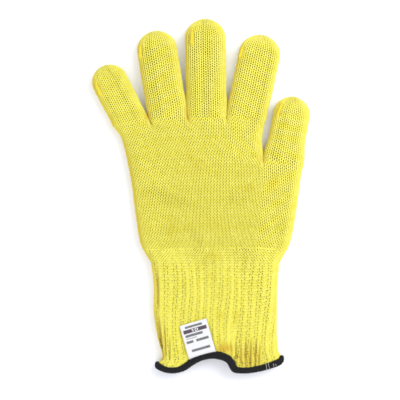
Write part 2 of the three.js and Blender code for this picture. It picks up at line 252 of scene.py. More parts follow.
LEFT_EDGE = inset_edge(HAND_LEFT, KNIT_INSET)
RIGHT_EDGE = inset_edge(HAND_RIGHT, -KNIT_INSET)
CUFF_LEFT_EDGE = inset_edge(CUFF_LEFT, KNIT_INSET)[::-1]
CUFF_RIGHT_EDGE = inset_edge(CUFF_RIGHT, -KNIT_INSET)[::-1]
HEM_CURVE = dense(HEM_LINE) + np.array([0, 1.4])  # where the knit ends, inside the hem
WRIST_LEFT = LEFT_EDGE[0]
WRIST_RIGHT = RIGHT_EDGE[0]
WRIST_SPLIT = WRIST_LEFT + 0.8 * (WRIST_RIGHT - WRIST_LEFT)  # the last of five lanes is the thumb's
GAP_EDGE = dense([WRIST_SPLIT, (48.6, -25), (51.4, 5), THUMB_GAP])
ABOVE_GAP = dense([THUMB_GAP, (51.2, 48), (FINGERS[3]["end"][0] - KNIT_INSET, FINGERS[3]["end"][1])])
ROOTS = np.array([FINGERS[0]["start"], *[f["end"] for f in FINGERS]], float)
ROOTS[0, 0] += KNIT_INSET
ROOTS[-1, 0] -= KNIT_INSET


def hand_course(number):
    """Lanes of a course, numbered up from the wrist: four, or five below the gap beside the thumb."""
    t = number / ROOT_COURSES
    left = along(LEFT_EDGE, t)
    beside_thumb = t <= GAP_SHARE + 1e-9
    if beside_thumb:
        split = along(GAP_EDGE, t / GAP_SHARE)
    else:
        split = along(ABOVE_GAP, (t - GAP_SHARE) / (1 - GAP_SHARE))
    chord = ROOTS[0] + np.linspace(0, 1, 5)[:, None] * (ROOTS[-1] - ROOTS[0])
    uneven = (ROOTS - chord) * t**3  # higher up, courses bend as the line of finger roots does
    marks = left + np.linspace(0, 1, 5)[:, None] * (split - left) + uneven
    lanes = [lane_line(marks[i], marks[i + 1]) for i in range(4)]
    if beside_thumb:
        lanes.append(lane_line(split, along(RIGHT_EDGE, t / GAP_SHARE)))
    return lanes


def cuff_course(share):
    """Lanes of a cuff course, share of the way from the wrist to the hem."""
    across = np.concatenate([(i + FINE) / 5 for i in range(5)])
    y = np.full_like(across, WRIST_Y)
    for _ in range(6):
        left, right = (np.interp(y, edge[:, 1], edge[:, 0]) for edge in (CUFF_LEFT_EDGE, CUFF_RIGHT_EDGE))
        x = left + across * (right - left)
        y = WRIST_Y + share * (np.interp(x, *HEM_CURVE.T) - WRIST_Y)
    return np.split(np.column_stack([x, y]), 5)


def hand_ring(number):
    lanes = hand_course(number)
    courses_to_gap = (ROOT_COURSES if len(lanes) == 4 else GAP_COURSES) - number
    parted = np.clip(1 - courses_to_gap / VALLEY_COURSES, 0, 1) ** 2.6
    inner = [1, 2, 3] if len(lanes) == 4 else [4]
    return ring_of(lanes, [(1 - parted, [0, len(lanes)]), (parted, [0, *inner, len(lanes)])])


def on_ring(ring, wale):
    """The smooth curve through a ring of points."""
    return sample(np.stack([ring, ring]), np.zeros(len(wale)), wale)


def cuff_ring(number):
    """Courses of the cuff are numbered down from the wrist. Its wales wander round it towards the hem."""
    share = number / CUFF_COURSES
    ring = ring_of(cuff_course(share), [(1, [0, 5])])
    drift = 3.0 * smoothstep((share - 0.3) / 0.7)
    return on_ring(ring, (np.arange(len(ring)) - drift) % len(ring))


def finger_rings(finger):
    """Courses of a finger from its root line to its closed tip, and the finger's own measures."""
    start, end, tip = (np.asarray(finger[k], float) for k in ("start", "end", "tip"))
    reach = tip - (start + end) / 2
    if finger is THUMB:
        start = np.asarray(THUMB_GAP, float)
        end = along(RIGHT_EDGE, 1.0)
    root = (start + end) / 2
    length = float(np.linalg.norm(reach))
    axis = reach / length
    perp = np.array([axis[1], -axis[0]])
    half_root = (end - start) / 2
    halves = np.array(finger["widths"]) / 2 - KNIT_INSET
    bulge_left, bulge_right = finger["bulge"]
    body = length - finger["widths"][1] / 2
    rings = []
    n_body = round(body / FINGER_COURSE)
    for i in range(1, n_body + 1):
        y = body * i / n_body
        half = np.interp(y, [0, FULL_WIDTH_AT * length], halves)
        straight = smoothstep((y + 2) / 20)  # courses turn from the slant of the root to square on
        side = (1 - straight) * half_root + straight * half * perp
        swell = smoothstep(y / 9) * (1 - smoothstep((y - 12) / 12))
        bulge = swell * np.where(FINE > 0.5, bulge_right, -bulge_left) * np.abs(2 * FINE - 1) ** 1.5
        lane = root + axis * y + (2 * FINE[:, None] - 1) * side + bulge[:, None] * perp
        rings.append(ring_of([lane], [(1, [0, 1])]))
    climb = np.linspace(0, TIP_CLIMB, 200)
    radius = halves[1]
    over = run_of(np.column_stack([radius * np.sin(climb), (HIGH - SIDE_Z) * np.cos(climb)]))
    n_tip = round(over[-1] / FINGER_COURSE)
    for i in range(1, n_tip + 1):
        angle = np.interp(over[-1] * i / n_tip, over, climb)
        rise = math.sin(angle)
        s = 2 * FINE - 1
        x = s * radius * math.cos(TIP_SWEEP * rise)
        y = radius * (math.sin(TIP_SWEEP * rise) * s**2 + rise * (1 - s**2))
        lane = root + axis * body + x[:, None] * perp + y[:, None] * axis
        rings.append(ring_of([lane], [(1, [0, 1])], shrink=math.cos(angle)))
    return rings, dict(length=length, body=body, across=unit(half_root))


def lane_part(ring, lane):
    """The front and back wales of one lane of a hand course, as a ring of their own."""
    w = WALES_PER_LANE
    front = lane * w
    rear = len(ring) - w - front
    joined = np.vstack([ring[front:front + w], ring[rear:rear + w]])
    joined[w] = (ring[(front + w) % len(ring)] + ring[rear]) / 2
    joined[0] = (ring[front] + ring[(rear + w) % len(ring)]) / 2
    return joined


def beyond(rows):
    """A course one step past the second of two, going straight on."""
    return 2 * rows[1] - rows[0]


hand_rows = [hand_ring(i) for i in range(ROOT_COURSES + 1)]
low_rows = [cuff_ring(i) for i in range(CUFF_COURSES, 0, -1)] + hand_rows[:GAP_COURSES + 1]
four_lane_gap = ring_of(hand_course(GAP_COURSES)[:4], [(1, [0, 4])])
high_rows = [four_lane_gap] + hand_rows[GAP_COURSES + 1:]

tubes = {}  # of each finger: its grid, which starts with two courses of the hand, and its measures
for lane, finger in enumerate([*FINGERS, THUMB]):
    rings, shape = finger_rings(finger)
    joined = [lane_part(ring, lane) for ring in (low_rows if finger is THUMB else high_rows)[-2:]]
    tubes[finger["name"]] = (np.stack([*joined, *rings, beyond(rings[-2:])]), shape)

first_rings = [tubes[f["name"]][0][2] for f in FINGERS]
w = WALES_PER_LANE
below_gap = np.vstack([low_rows[-2][:4 * w], low_rows[-2][-4 * w:]])
past_roots = np.vstack([ring[:w] for ring in first_rings] + [ring[w:] for ring in first_rings[::-1]])
past_gap = np.vstack([high_rows[1][:4 * w], tubes["thumb"][0][2], high_rows[1][4 * w:]])
HIGH_GRID = np.stack([below_gap, *high_rows, past_roots])
LOW_GRID = np.stack([beyond(low_rows[1::-1]), *low_rows, past_gap])
LOW_WALES = LOW_GRID.shape[1]

# ---------------- ribs and gathers of the cuff

GATHERS = [  # top and bottom of each deep furrow above the hem, its half width and its depth
    ((-37.4, -50), (-36.2, -96), 1.4, 1.3),
    ((-36.6, -94), (-33.6, -128), 1.5, 1.5),
    ((-36.0, -108), (-32.8, -139), 1.4, 2.0),
    ((-31.5, -98), (-30.0, -137), 1.0, 1.5),
    ((-26.5, -114), (-26.4, -139), 1.0, 1.4),
    ((18.0, -117), (19.5, -131), 0.9, 0.8),
    ((24.6, -117), (25.6, -136), 0.9, 1.0),
    ((29.0, -116), (30.2, -143), 1.0, 1.3),
    ((33.6, -115), (34.0, -144), 1.0, 1.5),
    ((38.2, -116), (37.7, -145), 1.1, 1.7),
    ((42.6, -114), (41.5, -145), 1.1, 1.8),
    ((47.0, -115), (45.6, -145), 1.1, 1.7),
    ((50.2, -117), (48.8, -144), 0.9, 1.5),
]


def gathers(x, y, facing):
    depth = np.zeros_like(x)
    for (x0, y0), (x1, y1), half, deep in GATHERS:
        share = (y - y0) / (y1 - y0)
        middle = x0 + share * (x1 - x0)
        fade = smoothstep(share * 2) * (1 - smoothstep((share - 0.88) / 0.24)) * (facing > 0.1)
        depth += deep * fade * bell((x - middle) / half)
    return depth


def rib_wander(course, wale):
    """How far a rib strays sideways, in wales."""
    return 0.25 * np.sin((course - 1) * 0.21 + wale * 12 * math.pi / LOW_WALES)


def past_furrow(turns):
    """From -1 to 1: how far round a rib a place is from the middle of its nearest furrow."""
    return 2 * (turns - np.round(turns))


def rib_loops(course, loop):
    """Wales of the ribbing's loops, which are drawn together, some more than others, so that the knit opens
    in stitch-sized holes between two ribs."""
    away = past_furrow((loop + np.where(course % 2 < 1, 0.5, -0.5)) / LOOPS_PER_RIB)
    loops = RIBS * LOOPS_PER_RIB
    pull = rng.uniform(0.8, 2.2, (len(course), loops))
    pull = np.take_along_axis(pull, np.round(loop).astype(int) % loops, 1)
    draw = 0.13 * pull * smoothstep((RIB_TOP - course) / 8)
    drawn = draw * np.sign(away) * (1 - np.abs(away)) * smoothstep(np.abs(away) / 0.14)
    wale = (loop + drawn) * LOW_WALES / loops
    return wale - rib_wander(course, wale)


def cuff_relief(course, wale, point, normal):
    """How far the ribs and gathers move the knit out or in on the five-lane part of the hand, and how deep
    in a furrow it is."""
    away = past_furrow(RIBS * (wale + rib_wander(course, wale)) / LOW_WALES)
    down = np.clip((RIB_TOP - course) / (CUFF_COURSES + 4), 0, 1)
    swell = smoothstep(down * 5) * (0.27 + 0.26 * down**2)
    rib = 0.7 - 1.7 * bell(away / 0.5)
    near_hem = smoothstep((course - 1) / 3)
    # The gathers' depth also paints ochre shade into their furrows, through the furrow layer
    furrow = gathers(point[..., 0], point[..., 1], normal[..., 2])
    on_table = smoothstep((-normal[..., 2] - 0.1) / 0.5)
    lift = swell * rib * (0.3 + 0.7 * near_hem) * (1 - 0.8 * on_table)
    return lift - furrow, furrow


DENTS = [  # soft hollows of the palm: middle, direction in degrees, half length, half width, depth, openness
    ((-30, -1), -20, 26, 5.0, 1.1, 1.0),
    ((-4.4, -37), -61, 11, 3.4, 1.1, 1.0),
    ((34, -20), 68, 22, 6.0, 0.5, 0.0),
    ((8, 34), -12, 24, 6.0, 0.4, 0.0),
    ((70, 31), 75, 18, 7.0, 0.3, 0.5),
    ((-36, 60), -20, 9, 4.0, 0.4, 0.8),
    ((68, -27), 80, 9, 4.0, 0.4, 0.5),
    ((28, -2), 10, 12, 4.5, 0.4, 0.6),
    ((38, -46), 0, 10, 4.0, 0.4, 0.6),
    ((-56, 22), 100, 22, 5.0, 0.0, 0.5),
]


def palm_relief(course, wale, point, normal):
    """The hollows, where the knit is stretched and its loops lie further apart."""
    lift = np.zeros_like(course)
    opened = np.zeros_like(lift)
    for (x, y), direction, half_length, half_width, depth, openness in DENTS:
        c, s = math.cos(math.radians(direction)), math.sin(math.radians(direction))
        dx, dy = point[..., 0] - x, point[..., 1] - y
        u, v = dx * c + dy * s, dy * c - dx * s
        near = bell(u / half_length, v / half_width) * (normal[..., 2] > 0)
        lift -= depth * near
        opened = np.maximum(opened, openness * near)
    return lift, -opened


def finger_relief(finger, at_tip):
    """A finger's knit is flat but for its slack gaps and, at its tip, where it is drawn in along both sides
    of the closing yarn, most on its right."""
    start, end = (np.array(p, float) for p in finger["ridge"])
    run = unit(end - start)
    length = float(np.linalg.norm(end - start))

    def relief(course, wale, point, normal):
        away = point[..., :2] - start
        down = away @ run / length
        left = away @ np.array([run[1], -run[0]])
        window = smoothstep((down + 0.1) * 4) * smoothstep((1.12 - down) * 4) * (normal[..., 2] > 0)
        furrow = at_tip * window * (bell((left + 1.7) / 0.95) + 0.45 * bell((left - 1.7) / 0.9))
        slack = 1.7 * np.max([bell((wale - gap) / 0.32) for gap in finger["slack"]], 0)
        # The second value goes to the furrow layer, which paints ochre shade in the groove beside the
        # closing yarn
        return -0.7 * furrow, 1.6 * furrow - slack

    return relief


ORANGE_AND_CROTCH_SHADE = [  # orange places: middle, half sizes and strength. The three at the crotches between the fingers and beside the thumb are painted shade; the two on the cuff are orange patches above the hem
    ((19.5, -129.0), (8.0, 4.0), 1.0),
    ((-45.0, 68.5), (2.6, 4.2), 1.0),
    ((51.2, 31.0), (3.2, 3.2), 0.45),
    ((-12.3, 70), (1.6, 7.0), 0.6),
    ((39.0, -137.0), (11.0, 9.0), 0.45),
]


def orange_and_shade_at(point, normal):
    """How orange the yarn is painted, from 0 to 1: at the listed places, and as painted shade along the
    sides that face left, away from the key lamp.
    """
    # Painted shade: the sides that face left, away from the key lamp, turn orange
    orange_and_shade = 0.58 * smoothstep((-normal[..., 0] - 0.42) / 0.55)
    for (x, y), (half_x, half_y), strength in ORANGE_AND_CROTCH_SHADE:
        near = bell((point[..., 0] - x) / half_x, (point[..., 1] - y) / half_y)
        orange_and_shade = np.maximum(orange_and_shade, strength * near * (normal[..., 2] > -0.5))
    return orange_and_shade


# ---------------- mesh making


def link(thing):
    bpy.context.scene.collection.objects.link(thing)
    return thing


def new_object(name, verts, quads, uvs, material, layers):
    """A mesh object from points in millimetres. uvs has one pair for each corner of each face, and layers
    one value for each point."""
    mesh = bpy.data.meshes.new(name)
    mesh.vertices.add(len(verts))
    mesh.vertices.foreach_set("co", (np.asarray(verts, np.float32) * MM).ravel())
    mesh.loops.add(quads.size)
    mesh.loops.foreach_set("vertex_index", quads.astype(np.int32).ravel())
    mesh.polygons.add(len(quads))
    mesh.polygons.foreach_set("loop_start", np.arange(0, quads.size, 4, dtype=np.int32))
    mesh.polygons.foreach_set("use_smooth", np.ones(len(quads), bool))
    mesh.update(calc_edges=True)
    mesh.uv_layers.new(name="OFBake").data.foreach_set("uv", np.asarray(uvs, np.float32).ravel())
    for key, values in layers.items():
        attribute = mesh.attributes.new(key, "FLOAT", "POINT")
        attribute.data.foreach_set("value", np.asarray(values, np.float32).ravel())
    mesh.validate()
    mesh.materials.append(material)
    return link(bpy.data.objects.new(name, mesh))


def grid_faces(rows, columns, closed=True):
    """Quads of a grid that closes round its columns, and for each corner its shares of rows and columns.
    closed also joins the last row to the first."""
    spans = rows if closed else rows - 1
    i, j = (index.ravel() for index in np.meshgrid(np.arange(spans), np.arange(columns), indexing="ij"))
    corners = [(i, j), (i, j + 1), (i + 1, j + 1), (i + 1, j)]
    quads = np.stack([row % rows * columns + column % columns for row, column in corners], -1)
    shares = np.stack([np.stack([row / spans, column / columns], -1) for row, column in corners], 1)
    return quads, shares


def uv_band(uvs, low, high):
    """Moves uvs into the band of the layer between two heights."""
    return uvs * [1, high - low] + [0, low]


def tube_parts(paths, normals, radius, sides, closed):
    """Round tubes along paths of shape (tubes, points, 3): vertices, quads and corner uvs."""
    count, length = paths.shape[:2]
    if closed:
        tangent = unit(np.roll(paths, -1, 1) - np.roll(paths, 1, 1))
    else:
        tangent = unit(np.gradient(paths, axis=1))
    out = unit(normals - (normals * tangent).sum(-1, keepdims=True) * tangent)
    side = np.cross(tangent, out)
    angle = 2 * math.pi * np.arange(sides) / sides
    ring = np.cos(angle)[:, None] * out[:, :, None] + np.sin(angle)[:, None] * side[:, :, None]
    radius = np.broadcast_to(radius, (count, length))[..., None, None]
    verts = (paths[:, :, None] + radius * ring).reshape(-1, 3)
    quads, shares = (np.roll(part, -1, 1) for part in grid_faces(length, sides, closed))
    tube = np.arange(count)[:, None, None]
    uvs = np.stack([shares[..., 0] + 0 * tube, (tube + shares[..., 1]) / count], -1)
    return verts, (quads + tube * length * sides).reshape(-1, 4), uvs.reshape(-1, 4, 2)


def capped(verts, quads, uvs, count, length, sides):
    """Closes both ends of open tubes, whose sides are even in number, with quads to a centre point."""
    grid = verts.reshape(count, length, sides, 3)
    centres = np.concatenate([grid[:, 0].mean(1), grid[:, -1].mean(1)])
    fans = []
    for t in range(count):
        for end, ring in ((0, 0), (1, length - 1)):
            first = (t * length + ring) * sides
            for j in range(0, sides, 2):
                quad = [len(verts) + end * count + t, first + j, first + j + 1, first + (j + 2) % sides]
                fans.append(quad[::-1] if end else quad)
    fan_uvs = np.full((len(fans), 4, 2), 0.001)
    return np.vstack([verts, centres]), np.vstack([quads, fans]), np.vstack([uvs, fan_uvs])


def soft_noise(noise):
    """Each loop's value, carried on to the yarn's points and smoothed round the tube."""
    kernel = np.hanning(LOOP_POINTS + 2)[1:-1]
    kernel = kernel / kernel.sum()
    spare = 8
    padded = np.pad(np.repeat(noise, LOOP_POINTS, axis=-1), [(0, 0), (0, 0), (spare, spare)], "wrap")
    return np.apply_along_axis(np.convolve, -1, padded, kernel, "same")[..., spare:-spare]


def yarn_rings(grid, courses, relief, style):
    """Loops of yarn for the given courses: paths, normals, radii, and the values that colour each point."""
    ribbed = style is RIB_KNIT
    n = RIBS * LOOPS_PER_RIB if ribbed else grid.shape[1]
    t = 2 * math.pi * np.arange(n * LOOP_POINTS) / LOOP_POINTS
    courses = np.asarray(courses, float)[:, None]
    slow = soft_noise(rng.normal(0, 1, (4, len(courses), n)))
    course = courses - (style["reach"] + 0.03 * slow[2]) * np.cos(t) + 0.03 * slow[3]
    wale = t / (2 * math.pi) + (style["lean"] + 0.015 * slow[0]) * np.sin(2 * t) + 0.025 * slow[1]
    if ribbed:
        near_furrow = bell(past_furrow(wale / LOOPS_PER_RIB) / 0.55)
        wale = rib_loops(courses, wale)
    point, normal = surface(grid, course, wale)
    width = np.linalg.norm(sample(grid, course, wale + 0.5) - sample(grid, course, wale - 0.5), axis=-1)
    lift, furrow = relief(course, wale, point, normal)
    depth = -(style["depth"] + 0.03 * slow[0]) * np.cos(2 * t)
    path = point + (lift + depth)[..., None] * normal
    tone = 0.5 + 0.14 * slow[1] + 0.1 * rng.normal(0, 1, (len(courses), 1))
    # The yarn looks thicker where its loops are crowded, and thinner where they hang open
    thick = 1 + 0.25 * smoothstep((normal[..., 0] - 0.2) / 0.4) + 0.4 * np.clip(furrow, 0, 1)
    thick = thick - 0.14 * np.clip(-furrow, 0, 2)
    if ribbed:
        thick = thick * (0.92 + 0.08 * smoothstep((RIB_TOP - courses) / 8))
        thick = thick * (1 + 0.3 * (1 - 0.6 * near_furrow) * (0.5 + 0.5 * np.cos(t)) ** 3)
        thick = thick * (1 - 0.08 * near_furrow)
    radius = np.clip(style["share"] * width, *YARN_RADII) * thick
    return path, normal, radius, furrow, tone, orange_and_shade_at(point, normal)


def backing(grid, first, last, relief, per_wale):
    """The closed inner layer of a knit tube between two courses: the far sides of its loops, which the
    material paints dark olive as the shade inside the glove.
    """
    rows = np.linspace(first, last, max(3, round((last - first) * 2) + 1))
    around = np.arange(grid.shape[1] * per_wale) / per_wale
    course, wale = np.meshgrid(rows, around, indexing="ij")
    point, normal = surface(grid, course, wale)
    lift, furrow = relief(course, wale, point, normal)
    orange_and_shade = orange_and_shade_at(point, normal)
    outer = point + (lift - BACKING_DEPTH)[..., None] * normal
    inner = point + (lift - BACKING_DEPTH - BACKING_THICKNESS)[..., None] * normal
    verts = np.vstack([outer, inner[::-1]])  # up the outside, then down the inside: a closed torus
    quads, shares = grid_faces(*verts.shape[:2])
    both = [np.concatenate([value, value[::-1]]).ravel() for value in (furrow, orange_and_shade)]
    return verts.reshape(-1, 3), quads, shares[..., ::-1], *both


def knit_piece(name, grid, courses, relief, ends, style=PLAIN_KNIT):
    """One length of knit: its yarn and the backing between the two ends, which are courses too."""
    path, normal, radius, *colouring = yarn_rings(grid, courses, relief, style)
    verts, quads, uvs = tube_parts(path, normal, radius, YARN_SIDES, True)
    b_verts, b_quads, b_uvs, b_furrow, b_orange_and_shade = backing(grid, *ends, relief, style["per_wale"])
    furrow, tone, orange_and_shade = (np.repeat(value.ravel(), YARN_SIDES) for value in colouring)
    layers = dict(
        furrow=np.concatenate([furrow, b_furrow]),
        tone=np.concatenate([tone, np.full(len(b_verts), 0.5)]),
        orange_and_shade=np.concatenate([orange_and_shade, b_orange_and_shade]),
        inside=np.concatenate([np.zeros(len(verts)), np.ones(len(b_verts))]),
    )
    return new_object(name, np.vstack([verts, b_verts]), np.vstack([quads, b_quads + len(verts)]),
                      np.vstack([uv_band(uvs, 0, 0.9), uv_band(b_uvs, 0.9, 1)]), knit_yarn, layers)


# ---------------- materials


class Nodes:
    """A new material's node tree, with short ways to add nodes."""

    def __init__(self, name):
        self.material = bpy.data.materials.new(name)
        self.material.use_nodes = True
        self.tree = self.material.node_tree
        self.shader = self.tree.nodes["Principled BSDF"]
        self.where = self.add("ShaderNodeTexCoord").outputs["Object"]  # in metres

    def add(self, kind, inputs=None, **settings):
        node = self.tree.nodes.new(kind)
        for key, value in settings.items():
            setattr(node, key, value)
        for key, value in (inputs or {}).items():
            self.put(node, key, value)
        return node

    def put(self, node, key, value):
        if isinstance(value, bpy.types.NodeSocket):
            self.tree.links.new(value, node.inputs[key])
        else:
            node.inputs[key].default_value = value

    def attribute(self, name):
        return self.add("ShaderNodeAttribute", attribute_name=name).outputs["Fac"]

    def math(self, operation, a, b=0.0, clamp=False):
        return self.add("ShaderNodeMath", {0: a, 1: b}, operation=operation, use_clamp=clamp).outputs[0]

    def times(self, a, b):
        return self.math("MULTIPLY", a, b)

    def between(self, value, low, high, to=(0.0, 1.0)):
        limits = {"From Min": low, "From Max": high, "To Min": to[0], "To Max": to[1]}
        return self.add("ShaderNodeMapRange", {"Value": value, **limits}).outputs["Result"]

    def mix(self, share, a, b):
        """A mix of two colours. A Mix node has sockets for each data type: 6, 7 and 2 are the colours'."""
        return self.add("ShaderNodeMix", {0: share, 6: a, 7: b}, data_type="RGBA").outputs[2]

    def noise(self, scale, detail=2.0, roughness=0.5):
        inputs = {"Scale": scale, "Detail": detail, "Roughness": roughness, "Vector": self.where}
        return self.add("ShaderNodeTexNoise", inputs).outputs["Fac"]

    def bump(self, height, strength, distance):
        inputs = {"Height": height, "Strength": strength, "Distance": distance}
        self.shade({"Normal": self.add("ShaderNodeBump", inputs).outputs["Normal"]})

    def shade(self, inputs):
        for key, value in inputs.items():
            self.put(self.shader, key, value)


LEMON = (0.78, 0.715, 0.075, 1)
PALE_LEMON = (0.85, 0.80, 0.15, 1)
DULL_LEMON = (0.76, 0.67, 0.06, 1)
OCHRE_SHADE = (0.44, 0.31, 0.02, 1)
ORANGE = (0.63, 0.43, 0.03, 1)
OLIVE_SHADE = (0.13, 0.105, 0.006, 1)


def yarn_material(name):
    """Fine fibres, lemon in colour, with orange patches and painted shade: ochre in deep furrows, olive on
    the inner layer, and orange on the sides that face left and at the crotches.
    """
    n = Nodes(name)
    fibre = n.noise(2600.0, 3.0, 0.6)
    light = n.math("ADD", n.times(fibre, 0.45), n.times(n.attribute("tone"), 0.55))
    base = n.mix(n.between(light, 0.3, 0.72), LEMON, PALE_LEMON)
    base = n.mix(n.between(n.noise(55.0), 0.62, 0.8), base, DULL_LEMON)
    # Orange: painted shade on the sides that face left and at the crotches, and orange patches on the cuff
    base = n.mix(n.attribute("orange_and_shade"), base, ORANGE)
    # Painted shade: ochre in the gathers' furrows and in the grooves beside the closing yarns
    base = n.mix(n.times(n.between(n.attribute("furrow"), 0.25, 1.5), 0.85), base, OCHRE_SHADE)
    # Painted shade: the inner layer, seen through the holes, is dark olive for the shade inside the glove
    base = n.mix(n.times(n.attribute("inside"), 0.92), base, OLIVE_SHADE)
    n.shade({"Base Color": base, "Roughness": n.between(fibre, 0.2, 0.8, to=(0.68, 0.92)),
             "Sheen Weight": 0.25, "Sheen Roughness": 0.5, "Specular IOR Level": 0.25})
    n.bump(n.math("ADD", fibre, n.times(n.noise(900.0), 0.6)), 0.35, 0.0002)
    return n.material


def thread_material(name, dark, light, roughness=(0.45, 0.75), sheen=0.2):
    n = Nodes(name)
    fibre = n.noise(3000.0, 3.0, 0.6)
    colour = n.mix(n.between(fibre, 0.3, 0.7), (*dark, 1), (*light, 1))
    n.shade({"Base Color": colour, "Roughness": n.between(fibre, 0.2, 0.8, to=roughness),
             "Sheen Weight": sheen, "Specular IOR Level": 0.25})
    n.bump(fibre, 0.3, 0.00015)
    return n.material


knit_yarn = yarn_material("knit_yarn")
bright_yarn = thread_material("bright_yarn", (0.70, 0.54, 0.02), (0.82, 0.71, 0.04))
hem_thread = thread_material("hem_thread", (0.006, 0.006, 0.007), (0.013, 0.013, 0.015), (0.6, 0.85), 0.05)
pale_thread = thread_material("pale_thread", (0.62, 0.58, 0.48), (0.80, 0.77, 0.68))
tack_yarn = thread_material("tack_yarn", (0.52, 0.36, 0.03), (0.74, 0.60, 0.06))
loop_yarn = thread_material("loop_yarn", (0.15, 0.09, 0.012), (0.30, 0.20, 0.02))

# Left, right, bottom and top, as shares of the part of the label that shows
PRINT_BAND = (0.07, 0.93, 0.695, 0.815)
NUMERAL_ONE = [(0.40, 0.436, 0.712, 0.798), (0.372, 0.41, 0.772, 0.787)]
PRINT_BARS = [(0.17, 0.80, 0.855, 0.925), (0.10, 0.74, 0.575, 0.655), (0.10, 0.50, 0.515, 0.535),
              (0.08, 0.33, 0.375, 0.455), (0.44, 0.90, 0.375, 0.455), (0.18, 0.86, 0.085, 0.165)]


def label_material():
    """White woven cloth, a purple-grey band that holds a size numeral, and plain bars for lines of print."""
    n = Nodes("label_cloth")
    x, y, printed = (n.attribute(key) for key in ("label_x", "label_y", "printed"))
    weave = n.noise(2400.0, 2.0, 0.6)

    def span(value, low, high, soft=0.012):
        return n.times(n.between(value, low - soft, low + soft), n.between(value, high + soft, high - soft))

    def bar(left, right, bottom, top):
        return n.times(span(x, left, right), span(y, bottom, top))

    def union(parts):
        total = parts[0]
        for part in parts[1:]:
            total = n.math("MAXIMUM", total, part)
        return total

    def oval(cx, cy, rx, ry):
        dx = n.math("DIVIDE", n.math("SUBTRACT", x, cx), rx)
        dy = n.math("DIVIDE", n.math("SUBTRACT", y, cy), ry)
        away = n.math("SQRT", n.math("ADD", n.times(dx, dx), n.times(dy, dy)))
        return n.between(away, 1.06, 0.94)

    def wearing(print_share, least, more):
        """A layer of print, which is only on the front, and is worn in places."""
        return n.times(n.times(print_share, n.math("ADD", least, n.times(worn, more))), printed)

    worn = n.between(n.noise(900.0, 2.0, 0.6), 0.25, 0.6)
    zero = n.math("SUBTRACT", oval(0.55, 0.755, 0.066, 0.046), oval(0.55, 0.755, 0.034, 0.027), clamp=True)
    numeral = union([*(bar(*stroke) for stroke in NUMERAL_ONE), zero])
    band = n.math("SUBTRACT", bar(*PRINT_BAND), numeral, clamp=True)
    cloth = n.mix(n.between(weave, 0.3, 0.7), (0.66, 0.66, 0.69, 1), (0.75, 0.75, 0.77, 1))
    bars = union([bar(*line) for line in PRINT_BARS])
    cloth = n.mix(wearing(bars, 0.65, 0.3), cloth, (0.055, 0.055, 0.065, 1))
    cloth = n.mix(wearing(band, 0.88, 0.12), cloth, (0.06, 0.036, 0.06, 1))
    roughness = n.math("ADD", 0.55, n.times(weave, 0.3))
    n.shade({"Base Color": cloth, "Roughness": roughness, "Specular IOR Level": 0.3})
    warp, weft = (n.add("ShaderNodeTexWave", {"Scale": 620.0, "Vector": n.where}, bands_direction=direction)
                  for direction in "XY")
    n.bump(n.math("ADD", warp.outputs["Fac"], weft.outputs["Fac"]), 0.25, 0.0001)
    return n.material


label_cloth = label_material()

# ---------------- camera, floor and light


def add_camera():
    """Straight above the glove, so that the picture is as wide as VIEW_WIDTH at half the glove's height."""
    camera = link(bpy.data.objects.new("camera", bpy.data.cameras.new("camera")))
    camera.data.sensor_width = 36
    camera.data.lens = 36 * (CAMERA_HEIGHT - GLOVE_MIDDLE) / VIEW_WIDTH
    camera.location = (*VIEW_CENTRE, CAMERA_HEIGHT)
    bpy.context.scene.camera = camera


def add_floor():
    n = Nodes("studio_floor")
    colour = n.mix(n.noise(40.0), (0.90, 0.91, 0.98, 1), (0.92, 0.93, 0.99, 1))
    n.shade({"Base Color": colour, "Roughness": 0.9})
    n.shade({"Emission Color": (0.92, 0.94, 1, 1), "Emission Strength": 0.06})
    half = FLOOR_SIZE / 2
    corners = [(-half, -half, 0), (half, -half, 0), (half, half, 0), (-half, half, 0)]
    mesh = bpy.data.meshes.new("floor")
    mesh.from_pydata(corners, [], [(0, 1, 2, 3)])
    mesh.materials.append(n.material)
    link(bpy.data.objects.new("floor", mesh))


def add_area(name, location, size, power):
    """A round lamp that shines on the middle of the glove."""
    light = bpy.data.lights.new(name, "AREA")
    light.shape = "DISK"
    light.size = size
    light.energy = power
    lamp = link(bpy.data.objects.new(name, light))
    lamp.location = location
    lamp.rotation_euler = (-lamp.location).to_track_quat("-Z", "Y").to_euler()


def add_world():
    world = bpy.data.worlds.new("studio")
    world.use_nodes = True
    background = world.node_tree.nodes["Background"]
    background.inputs["Color"].default_value = (1, 1, 1, 1)
    background.inputs["Strength"].default_value = 0.86
    bpy.context.scene.world = world
    bpy.context.scene.view_settings.view_transform = "Standard"


# The camera, the floor and the lamps are in metres
VIEW_CENTRE = (-0.85 * MM, -3.4 * MM)
VIEW_WIDTH = 340 * MM
CAMERA_HEIGHT = 1.2
GLOVE_MIDDLE = 8 * MM
FLOOR_SIZE = 6.0
add_camera()
add_floor()
add_area("key", (0.62, 0.4, 0.85), 0.8, 6.8)
add_area("fill", (-0.9, -0.7, 1.4), 1.6, 9)
add_world()

# ---------------- the knit pieces

JOINTS = {j["name"]: j for j in frame["joints"]}


def blend_zone(piece, joint, direction, before, after):
    """Bakes the piece's transform into its mesh; it does not bend the piece. joint, direction, before and
    after are not used.
    """
    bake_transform(piece)


def place(piece, body, node):
    """Lets the piece ride on one body. node is the CAD node it replaces, if any."""
    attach(piece, body)
    if node:
        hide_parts(node)


def wrist_relief(course, wale, point, normal):
    ribs, furrow = cuff_relief(course, wale, point, normal)
    dents, opened = palm_relief(course, wale, point, normal)
    return ribs + dents, furrow + opened


def low_piece(name, first, end, relief, style=PLAIN_KNIT):
    """Knit of the low grid, from course first up to the course before end."""
    edges = (max(first - 0.5, 1), min(end - 0.5, LOW_TOP))
    return knit_piece(name, LOW_GRID, np.arange(first, end), relief, edges, style)


